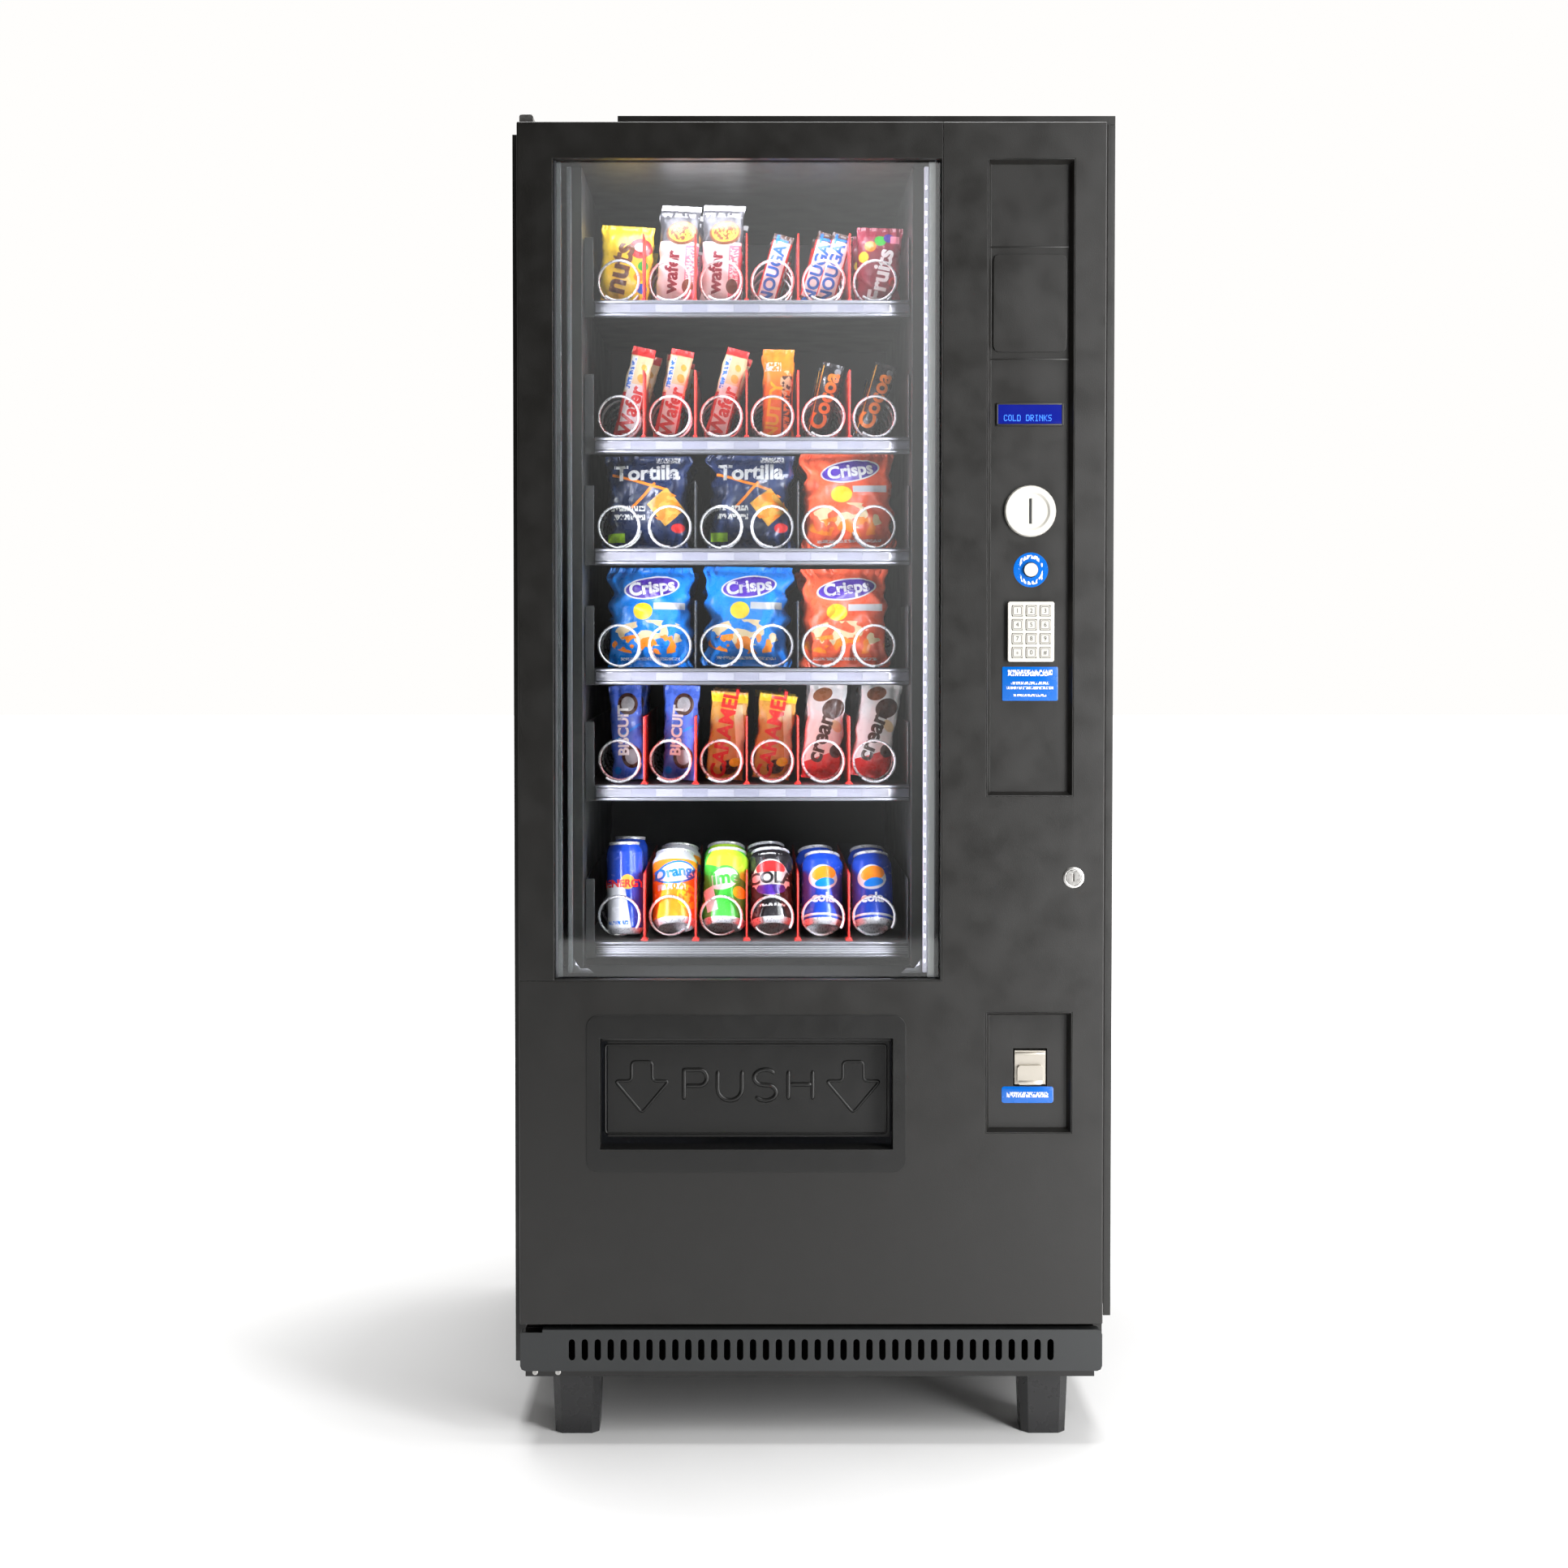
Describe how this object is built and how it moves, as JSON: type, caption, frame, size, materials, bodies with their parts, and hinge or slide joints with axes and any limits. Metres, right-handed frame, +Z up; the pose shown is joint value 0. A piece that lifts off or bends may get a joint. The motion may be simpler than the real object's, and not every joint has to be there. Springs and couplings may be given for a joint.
{
  "type": "snack vending machine",
  "caption": "Glass-front snack vending machine with coil trays, a side control column, a push delivery flap and a hinged door, on four legs.",
  "frame": {"origin": "on the floor, below the middle of the machine's outline", "axes": "+Z up, -Y towards the customer, +X to the customer's right"},
  "size_m": [0.84, 0.85, 1.846],
  "materials": {
    "black_steel": "satin",
    "grey_steel": "satin",
    "zinc_steel": "satin",
    "tray_steel": "satin",
    "bright_wire": "polished",
    "dark_plastic": "matte",
    "cream_plastic": "satin",
    "light_profile": "satin",
    "flap_steel": "satin",
    "display_blue": "gloss",
    "window_glass": "clear"
  },
  "bodies": {
    "cabinet": {"side_wall_left": "black_steel", "side_wall_right": "black_steel", "roof_panel": "black_steel", "rear_wall": "black_steel", "base_frame": "black_steel", "guard_side": "black_steel", "guard_top": "black_steel", "deck_panel": "grey_steel", "vent_grille": "grey_steel", "upright_left": "grey_steel", "upright_right": "grey_steel", "cooling_unit": "grey_steel", "hinge_upper": "zinc_steel", "hinge_lower": "zinc_steel", "tray_1": "tray_steel", "tray_2": "tray_steel", "tray_3": "tray_steel", "tray_4": "tray_steel", "tray_5": "tray_steel", "tray_6": "tray_steel", "leg_front_left": "dark_plastic", "leg_rear_left": "dark_plastic", "leg_front_right": "dark_plastic", "leg_rear_right": "dark_plastic"},
    "door": {"door_shell": "black_steel", "window_frame": "black_steel", "glass": "window_glass", "led_left": "light_profile", "led_right": "light_profile", "control_plate": "black_steel", "validator_blank": "black_steel", "display": "display_blue", "coin_inlet": "cream_plastic", "keypad_plate": "cream_plastic", "coin_return_plate": "black_steel", "delivery_bezel": "dark_plastic", "delivery_bin": "grey_steel"},
    "return_button": {"return_button": "cream_plastic"},
    "coin_flap": {"coin_flap": "flap_steel"},
    "delivery_flap": {"delivery_flap": "dark_plastic"},
    "lock_barrel": {"lock_barrel": "zinc_steel"},
    "key_1": {"key_1": "cream_plastic"},
    "key_2": {"key_2": "cream_plastic"},
    "key_3": {"key_3": "cream_plastic"},
    "key_4": {"key_4": "cream_plastic"},
    "key_5": {"key_5": "cream_plastic"},
    "key_6": {"key_6": "cream_plastic"},
    "key_7": {"key_7": "cream_plastic"},
    "key_8": {"key_8": "cream_plastic"},
    "key_9": {"key_9": "cream_plastic"},
    "key_star": {"key_star": "cream_plastic"},
    "key_0": {"key_0": "cream_plastic"},
    "key_hash": {"key_hash": "cream_plastic"},
    "coil_1": {"coil_1": "bright_wire"},
    "coil_2": {"coil_2": "bright_wire"},
    "coil_3": {"coil_3": "bright_wire"},
    "coil_4": {"coil_4": "bright_wire"},
    "coil_5": {"coil_5": "bright_wire"},
    "coil_6": {"coil_6": "bright_wire"},
    "condenser_fan": {"condenser_fan": "dark_plastic"}
  },
  "joints": [
    {"name": "door_hinge", "type": "hinge", "parent": "cabinet", "child": "door", "pos_m": [-0.393, -0.377, 0.9], "axis": [0, 0, -1], "range_deg": [0, 105]},
    {"name": "delivery_flap_hinge", "type": "hinge", "parent": "door", "child": "delivery_flap", "pos_m": [-0.08675, -0.388, 0.5645], "axis": [1, 0, 0], "range_deg": [0, 60]},
    {"name": "coin_flap_hinge", "type": "hinge", "parent": "door", "child": "coin_flap", "pos_m": [0.3045, -0.4075, 0.55], "axis": [1, 0, 0], "range_deg": [0, 45]},
    {"name": "lock_turn", "type": "hinge", "parent": "door", "child": "lock_barrel", "pos_m": [0.362, -0.423, 0.794], "axis": [0, 1, 0], "range_deg": [0, 90]},
    {"name": "return_button_press", "type": "slide", "parent": "door", "child": "return_button", "axis": [0, 1, 0], "range_m": [0, 0.003], "stiffness_N_per_m": 250, "springref_m": -0.002},
    {"name": "fan_spin", "type": "hinge", "parent": "cabinet", "child": "condenser_fan", "pos_m": [0.02, -0.149, 0.354], "axis": [0, 1, 0], "continuous": true},
    {"name": "key_1_press", "type": "slide", "parent": "door", "child": "key_1", "axis": [0, 1, 0], "range_m": [0, 0.0015], "stiffness_N_per_m": 300, "springref_m": -0.001},
    {"name": "key_2_press", "type": "slide", "parent": "door", "child": "key_2", "axis": [0, 1, 0], "range_m": [0, 0.0015], "stiffness_N_per_m": 300, "springref_m": -0.001},
    {"name": "key_3_press", "type": "slide", "parent": "door", "child": "key_3", "axis": [0, 1, 0], "range_m": [0, 0.0015], "stiffness_N_per_m": 300, "springref_m": -0.001},
    {"name": "key_4_press", "type": "slide", "parent": "door", "child": "key_4", "axis": [0, 1, 0], "range_m": [0, 0.0015], "stiffness_N_per_m": 300, "springref_m": -0.001},
    {"name": "key_5_press", "type": "slide", "parent": "door", "child": "key_5", "axis": [0, 1, 0], "range_m": [0, 0.0015], "stiffness_N_per_m": 300, "springref_m": -0.001},
    {"name": "key_6_press", "type": "slide", "parent": "door", "child": "key_6", "axis": [0, 1, 0], "range_m": [0, 0.0015], "stiffness_N_per_m": 300, "springref_m": -0.001},
    {"name": "key_7_press", "type": "slide", "parent": "door", "child": "key_7", "axis": [0, 1, 0], "range_m": [0, 0.0015], "stiffness_N_per_m": 300, "springref_m": -0.001},
    {"name": "key_8_press", "type": "slide", "parent": "door", "child": "key_8", "axis": [0, 1, 0], "range_m": [0, 0.0015], "stiffness_N_per_m": 300, "springref_m": -0.001},
    {"name": "key_9_press", "type": "slide", "parent": "door", "child": "key_9", "axis": [0, 1, 0], "range_m": [0, 0.0015], "stiffness_N_per_m": 300, "springref_m": -0.001},
    {"name": "key_star_press", "type": "slide", "parent": "door", "child": "key_star", "axis": [0, 1, 0], "range_m": [0, 0.0015], "stiffness_N_per_m": 300, "springref_m": -0.001},
    {"name": "key_0_press", "type": "slide", "parent": "door", "child": "key_0", "axis": [0, 1, 0], "range_m": [0, 0.0015], "stiffness_N_per_m": 300, "springref_m": -0.001},
    {"name": "key_hash_press", "type": "slide", "parent": "door", "child": "key_hash", "axis": [0, 1, 0], "range_m": [0, 0.0015], "stiffness_N_per_m": 300, "springref_m": -0.001},
    {"name": "vend_coil_1", "type": "hinge", "parent": "cabinet", "child": "coil_1", "pos_m": [-0.275, -0.262, 1.2853], "axis": [0, 1, 0], "continuous": true},
    {"name": "vend_coil_2", "type": "hinge", "parent": "cabinet", "child": "coil_2", "pos_m": [-0.201, -0.262, 1.2853], "axis": [0, 1, 0], "continuous": true},
    {"name": "vend_coil_3", "type": "hinge", "parent": "cabinet", "child": "coil_3", "pos_m": [-0.127, -0.262, 1.2853], "axis": [0, 1, 0], "continuous": true},
    {"name": "vend_coil_4", "type": "hinge", "parent": "cabinet", "child": "coil_4", "pos_m": [-0.053, -0.262, 1.2853], "axis": [0, 1, 0], "continuous": true},
    {"name": "vend_coil_5", "type": "hinge", "parent": "cabinet", "child": "coil_5", "pos_m": [0.021, -0.262, 1.2853], "axis": [0, 1, 0], "continuous": true},
    {"name": "vend_coil_6", "type": "hinge", "parent": "cabinet", "child": "coil_6", "pos_m": [0.095, -0.262, 1.2853], "axis": [0, 1, 0], "continuous": true}
  ],
  "couplings": [
    {"joint": "vend_coil_2", "follows": "vend_coil_1", "ratio": -1},
    {"joint": "vend_coil_4", "follows": "vend_coil_3", "ratio": -1},
    {"joint": "vend_coil_6", "follows": "vend_coil_5", "ratio": -1}
  ]
}
